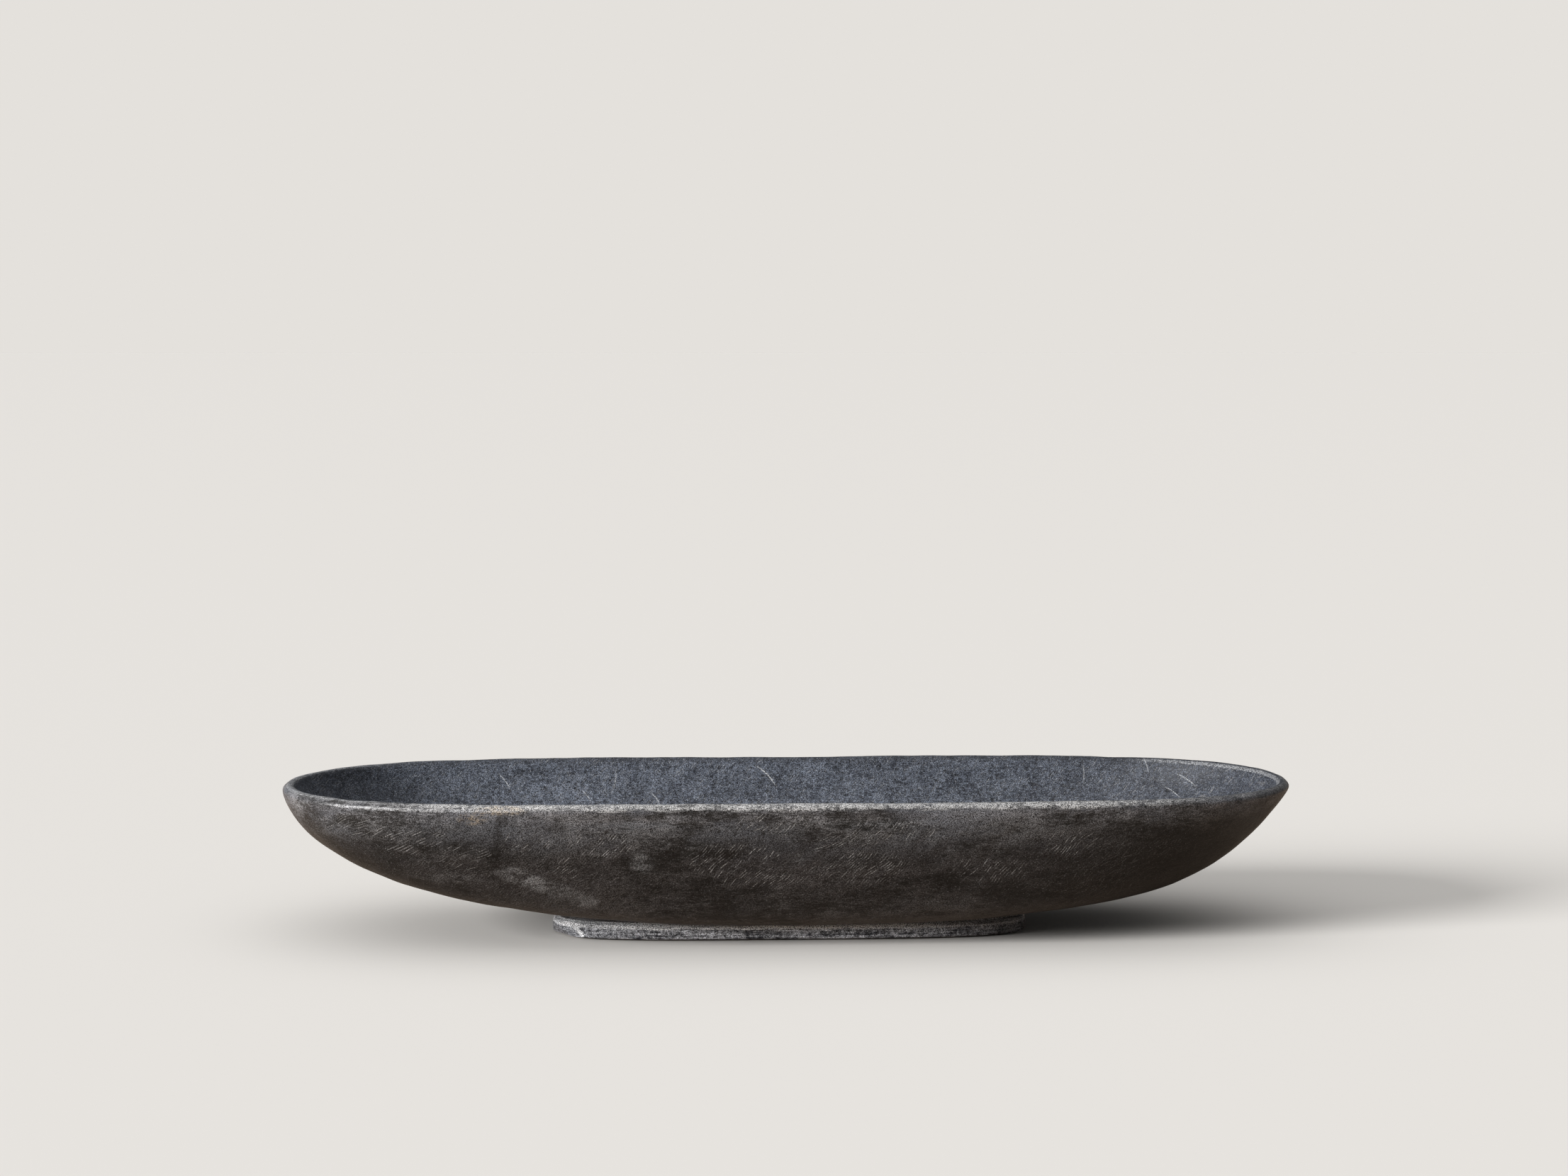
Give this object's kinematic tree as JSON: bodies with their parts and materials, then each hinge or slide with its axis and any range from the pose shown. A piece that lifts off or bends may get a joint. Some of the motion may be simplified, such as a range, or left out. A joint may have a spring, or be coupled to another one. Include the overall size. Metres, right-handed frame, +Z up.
{
  "type": "marble bowl",
  "caption": "Long oval bowl carved from one block of dark charcoal marble, with a rolled rim, a full belly and a low soft-cornered foot on felt pads; a table bowl for fruit or display.",
  "frame": {"origin": "on the table, under the middle of the bowl", "axes": "+X along the bowl's length to the right as pictured, +Y to its back, +Z up"},
  "size_m": [0.61, 0.21, 0.09],
  "materials": {
    "charcoal_marble": "honed, rasp-marked, satin",
    "felt": "pressed felt"
  },
  "bodies": {
    "root": {"bowl": "charcoal_marble", "felt_pad_front_left": "felt", "felt_pad_front_right": "felt", "felt_pad_back_left": "felt", "felt_pad_back_right": "felt"}
  },
  "joints": []
}
